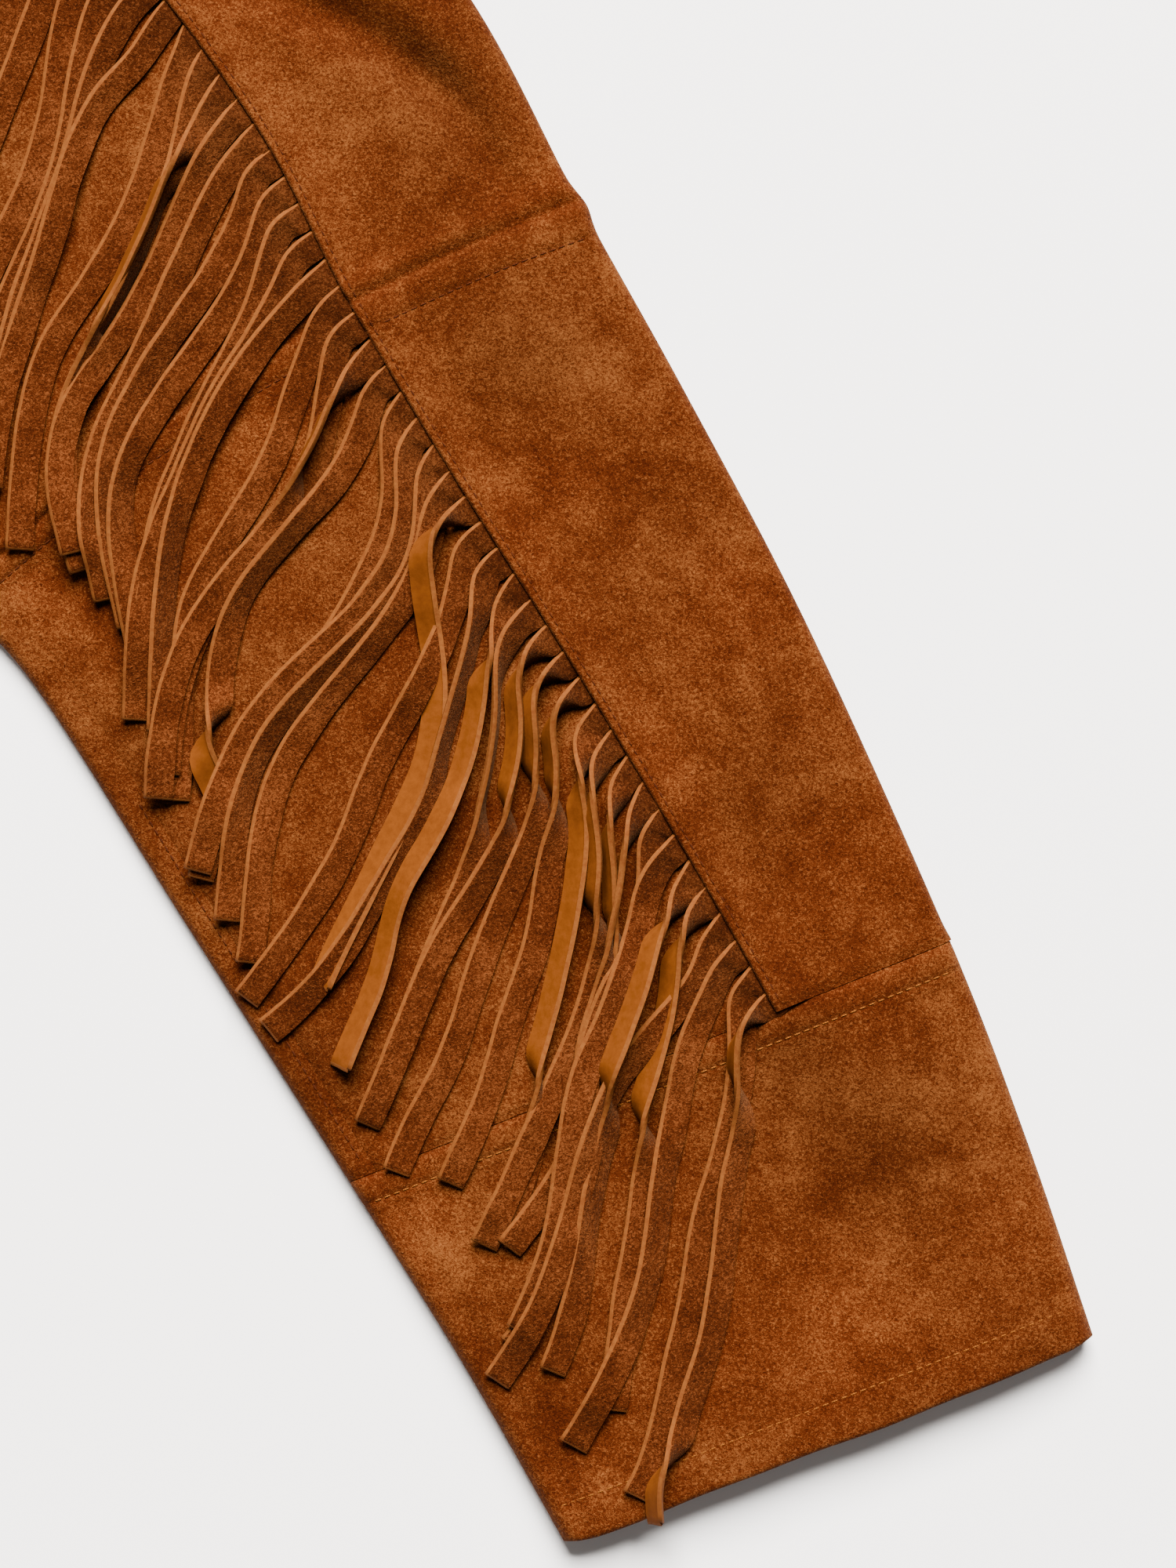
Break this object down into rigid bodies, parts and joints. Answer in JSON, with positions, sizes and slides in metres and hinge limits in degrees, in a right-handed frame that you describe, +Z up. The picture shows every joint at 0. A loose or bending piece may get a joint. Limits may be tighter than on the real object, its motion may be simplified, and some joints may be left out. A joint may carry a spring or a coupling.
{
  "type": "fringed suede jacket",
  "caption": "Collarless suede jacket with a buttoned front, laid flat front up, with a long fringe down each sleeve that ends at a plain turned cuff.",
  "frame": {"origin": "on the table under the middle of the jacket, half way between its hem and its neck points", "axes": "+X to the wearer's left, +Y from the hem to the neck, +Z up from the table"},
  "size_m": [1.243, 0.63, 0.0118],
  "materials": {
    "suede": "napped rust-brown suede",
    "fringe": "napped suede strips, smooth and paler on the reverse",
    "band": "napped suede",
    "button": "polished dark horn"
  },
  "bodies": {
    "root": {"back": "suede", "front_right": "suede", "front_left": "suede", "neck_band_right": "band", "neck_band_left": "band", "neck_band_back": "band", "sleeve_upper_outer_left": "suede", "sleeve_upper_inner_left": "suede", "sleeve_forearm_outer_left": "suede", "sleeve_forearm_inner_left": "suede", "cuff_left": "suede", "sleeve_fringe_left": "fringe", "sleeve_upper_outer_right": "suede", "sleeve_upper_inner_right": "suede", "sleeve_forearm_outer_right": "suede", "sleeve_forearm_inner_right": "suede", "cuff_right": "suede", "sleeve_fringe_right": "fringe", "button_1": "button", "button_2": "button", "button_3": "button", "button_4": "button", "button_5": "button"}
  },
  "joints": []
}
